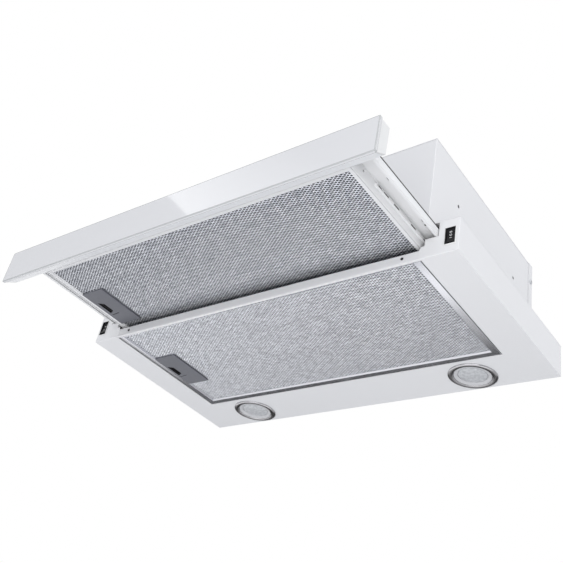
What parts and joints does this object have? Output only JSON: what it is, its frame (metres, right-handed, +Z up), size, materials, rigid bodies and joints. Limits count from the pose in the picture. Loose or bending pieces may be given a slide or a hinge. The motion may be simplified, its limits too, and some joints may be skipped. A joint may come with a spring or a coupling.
{
  "type": "telescopic range hood",
  "caption": "Telescopic kitchen range hood with glass-fronted pull-out drawer, mesh grease filters, round lights, rocker switches and a round duct outlet on top.",
  "frame": {"origin": "centre of the round duct outlet's mouth, at the top of the collar that the duct slides over", "axes": "+Z up along the duct outlet, +X to the right along the hood's width, +Y back to the wall; the drawer slides out towards -Y"},
  "size_m": [0.599, 0.474, 0.2345],
  "materials": {
    "white_enamel": "smooth powder coat, low gloss",
    "white_glass": "polished glass painted white on its back",
    "white_plastic": "fine grain",
    "zinc_steel": "zinc plated or satin nickel",
    "bearing_steel": "sintered and oiled",
    "black_steel": "black coat, low gloss",
    "aluminium": "plain rolled, fine satin",
    "dark_grey_plastic": "fine grain",
    "black_plastic": "half gloss",
    "fan_plastic": "plain moulded",
    "frosted_glass": "frosted",
    "lead_insulation": "matt sheath"
  },
  "bodies": {
    "hood": {"base_pan": "white_enamel", "base_top_plate": "white_enamel", "front_crossbar": "white_enamel", "housing_wrap": "white_enamel", "housing_rear_panel": "white_enamel", "housing_top_panel": "white_enamel", "sheet_screws": "zinc_steel", "duct_collar": "fan_plastic", "flap_pin": "zinc_steel", "scroll_right": "fan_plastic", "scroll_left": "fan_plastic", "outlet_adapter": "fan_plastic", "motor_bracket": "zinc_steel", "motor_body": "zinc_steel", "motor_bearings": "bearing_steel", "capacitor": "white_plastic", "control_box": "white_plastic", "control_box_lid": "white_plastic", "terminal_block": "dark_grey_plastic", "cable_gland": "black_plastic", "wiring": "lead_insulation", "light_ring_right": "zinc_steel", "light_ring_left": "zinc_steel", "light_lens_right": "frosted_glass", "light_lens_left": "frosted_glass", "lamp_bodies": "aluminium", "switch_body_right": "black_plastic", "switch_body_left": "black_plastic", "microswitch": "dark_grey_plastic", "rail_fixed_right": "zinc_steel", "rail_fixed_left": "zinc_steel"},
    "rotor": {"rotor_shaft": "zinc_steel", "impeller_right": "fan_plastic", "impeller_left": "fan_plastic"},
    "valve_flap_front": {"flap_front": "fan_plastic"},
    "valve_flap_rear": {"flap_rear": "fan_plastic"},
    "right_rocker": {"rocker_right": "black_plastic"},
    "left_rocker": {"rocker_left": "black_plastic"},
    "plunger": {"microswitch_plunger": "black_plastic"},
    "rear_filter": {"rear_filter_frame": "aluminium", "rear_filter_mesh": "aluminium", "rear_filter_handle": "dark_grey_plastic", "rear_latch_spring": "zinc_steel"},
    "rear_latch": {"rear_filter_latch": "dark_grey_plastic"},
    "drawer": {"glass_panel": "white_glass", "panel_housing": "white_enamel", "panel_end_cap_right": "white_plastic", "panel_end_cap_left": "white_plastic", "drawer_frame": "white_enamel", "drawer_cover": "white_enamel", "panel_screws": "zinc_steel", "rail_inner_right": "black_steel", "rail_inner_left": "black_steel", "front_filter_frame": "white_enamel", "front_filter_mesh": "aluminium", "front_filter_handle": "dark_grey_plastic", "front_latch_spring": "zinc_steel"},
    "front_latch": {"front_filter_latch": "dark_grey_plastic"},
    "right_middle_rail": {"rail_middle_right": "zinc_steel"},
    "left_middle_rail": {"rail_middle_left": "zinc_steel"}
  },
  "joints": [
    {"name": "drawer_slide", "type": "slide", "parent": "hood", "child": "drawer", "axis": [0, -1, 0], "range_m": [-0.1535, 0]},
    {"name": "right_rail_slide", "type": "slide", "parent": "hood", "child": "right_middle_rail", "axis": [0, -1, 0], "range_m": [-0.0768, 0]},
    {"name": "left_rail_slide", "type": "slide", "parent": "hood", "child": "left_middle_rail", "axis": [0, -1, 0], "range_m": [-0.0768, 0]},
    {"name": "front_latch_slide", "type": "slide", "parent": "drawer", "child": "front_latch", "axis": [1, 0, 0], "range_m": [0, 0.005], "stiffness_N_per_m": 300, "springref_m": -0.004, "deforming": ["front_latch_spring"]},
    {"name": "rear_filter_swing", "type": "hinge", "parent": "hood", "child": "rear_filter", "pos_m": [0.2465, -0.0375, -0.2255], "axis": [0, -1, 0], "range_deg": [0, 75]},
    {"name": "rear_latch_slide", "type": "slide", "parent": "rear_filter", "child": "rear_latch", "axis": [1, 0, 0], "range_m": [0, 0.005], "stiffness_N_per_m": 300, "springref_m": -0.004, "deforming": ["rear_latch_spring"]},
    {"name": "right_rocker_tilt", "type": "hinge", "parent": "hood", "child": "right_rocker", "pos_m": [0.288, -0.145, -0.2075], "axis": [1, 0, 0], "range_deg": [-9, 9]},
    {"name": "left_rocker_tilt", "type": "hinge", "parent": "hood", "child": "left_rocker", "pos_m": [-0.288, -0.145, -0.2075], "axis": [1, 0, 0], "range_deg": [0, 18]},
    {"name": "plunger_press", "type": "slide", "parent": "hood", "child": "plunger", "axis": [0, 1, 0], "range_m": [0, 0.002], "stiffness_N_per_m": 200, "springref_m": -0.003},
    {"name": "blower_spin", "type": "hinge", "parent": "hood", "child": "rotor", "pos_m": [0, -0.034, -0.118], "axis": [1, 0, 0], "continuous": true},
    {"name": "front_flap_lift", "type": "hinge", "parent": "hood", "child": "valve_flap_front", "pos_m": [0, 0, -0.024], "axis": [-1, 0, 0], "range_deg": [0, 70]},
    {"name": "rear_flap_lift", "type": "hinge", "parent": "hood", "child": "valve_flap_rear", "pos_m": [0, 0, -0.024], "axis": [1, 0, 0], "range_deg": [0, 70]}
  ],
  "couplings": [
    {"joint": "right_rail_slide", "follows": "drawer_slide", "ratio": 0.5},
    {"joint": "left_rail_slide", "follows": "drawer_slide", "ratio": 0.5}
  ]
}
